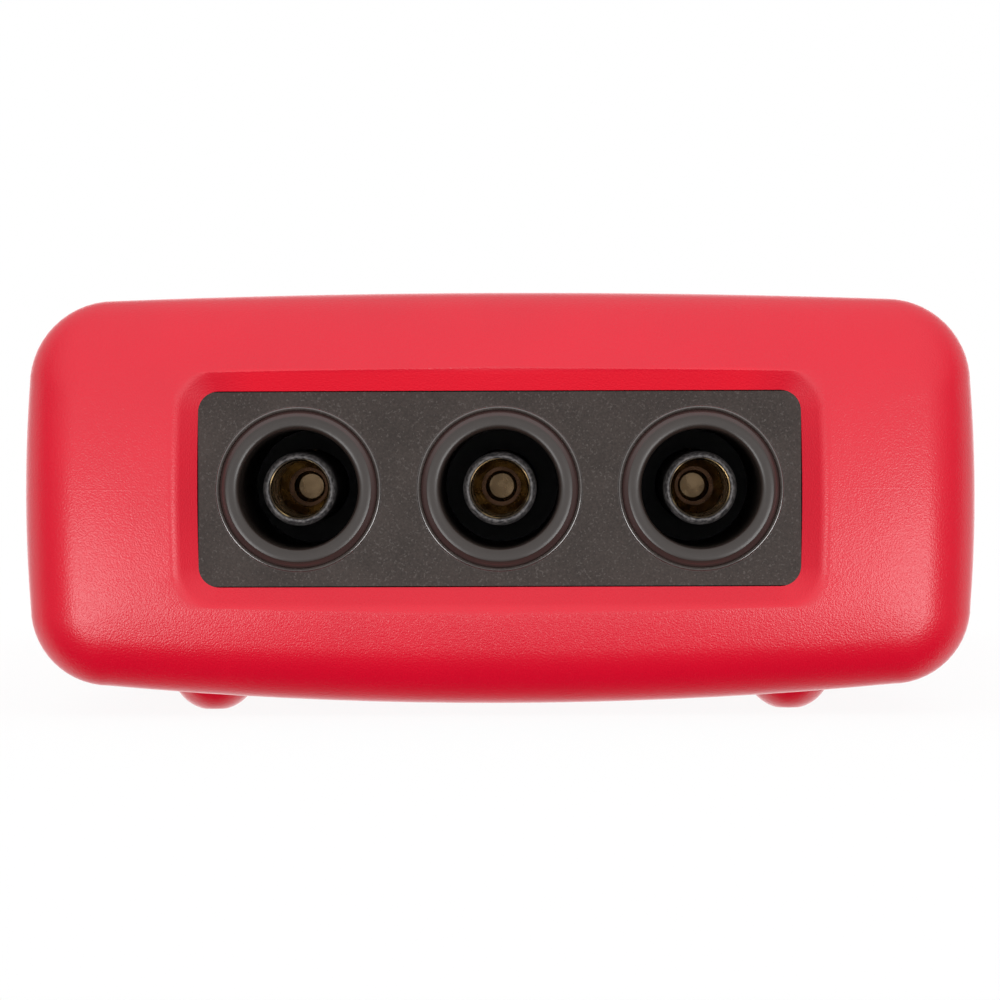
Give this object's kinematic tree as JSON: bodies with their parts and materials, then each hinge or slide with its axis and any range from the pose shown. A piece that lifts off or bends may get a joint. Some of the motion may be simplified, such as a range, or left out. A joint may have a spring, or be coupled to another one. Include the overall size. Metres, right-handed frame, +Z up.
{
  "type": "circuit breaker finder",
  "caption": "Pocket circuit breaker finder in a soft boot, with shrouded lead sockets in one end, keys and lamps on its front and a battery door in its back.",
  "frame": {"origin": "under the middle of the boot, in the plane of its feet", "axes": "+Z up out of the front with the keys, -Y out of the socket end, +X to the right of the sockets"},
  "size_m": [0.0676, 0.136, 0.03],
  "materials": {
    "boot": "satin red soft moulding",
    "case": "fine-textured dark grey moulding",
    "socket": "dark grey moulding",
    "collar": "grey insulating tube",
    "contact": "turned brass",
    "board": "green coated board",
    "lens": "smoked clear moulding",
    "lamp": "clear cast",
    "key": "light grey moulding",
    "power_key": "red moulding",
    "switch": "stamped cover",
    "plunger": "black moulding",
    "component": "moulded black",
    "resistor": "coated tan",
    "core": "sintered core",
    "capacitor": "sleeved can",
    "cell": "wrapped cell",
    "steel": "plated",
    "insert": "knurled insert"
  },
  "bodies": {
    "case": {"protective_boot": "boot", "front_case": "case", "rear_case": "case", "socket_plate": "socket", "contact_carrier": "socket", "socket_barrel_left": "socket", "socket_barrel_centre": "socket", "socket_barrel_right": "socket", "contact_collar_left": "collar", "contact_collar_centre": "collar", "contact_collar_right": "collar", "contact_sleeve_left": "contact", "contact_sleeve_centre": "contact", "contact_sleeve_right": "contact", "circuit_board": "board", "lamp_lens": "lens", "lamp_left": "lamp", "lamp_centre": "lamp", "lamp_right": "lamp", "power_switch": "switch", "mode_switch": "switch", "level_switch": "switch", "buzzer": "component", "control_chips": "component", "input_resistors": "resistor", "signal_transformer": "core", "capacitors": "capacitor", "battery_cell_left": "cell", "battery_cell_right": "cell", "battery_springs": "steel", "battery_plates": "steel", "door_insert": "insert", "case_screws": "steel", "board_screws": "steel"},
    "power_key": {"power_key": "power_key", "power_plunger": "plunger"},
    "mode_key": {"mode_key": "key", "mode_plunger": "plunger"},
    "level_key": {"level_key": "key", "level_plunger": "plunger"},
    "battery_door": {"battery_door": "case", "door_screw": "steel"}
  },
  "joints": [
    {"name": "power_key_press", "type": "slide", "parent": "case", "child": "power_key", "axis": [0, 0, -1], "range_m": [0, 0.0005], "stiffness_N_per_m": 600},
    {"name": "mode_key_press", "type": "slide", "parent": "case", "child": "mode_key", "axis": [0, 0, -1], "range_m": [0, 0.0005], "stiffness_N_per_m": 600},
    {"name": "level_key_press", "type": "slide", "parent": "case", "child": "level_key", "axis": [0, 0, -1], "range_m": [0, 0.0005], "stiffness_N_per_m": 600},
    {"name": "battery_door_hinge", "type": "hinge", "parent": "case", "child": "battery_door", "pos_m": [0, 0.0456, 0.00355], "axis": [1, 0, 0], "range_deg": [0, 90]}
  ]
}
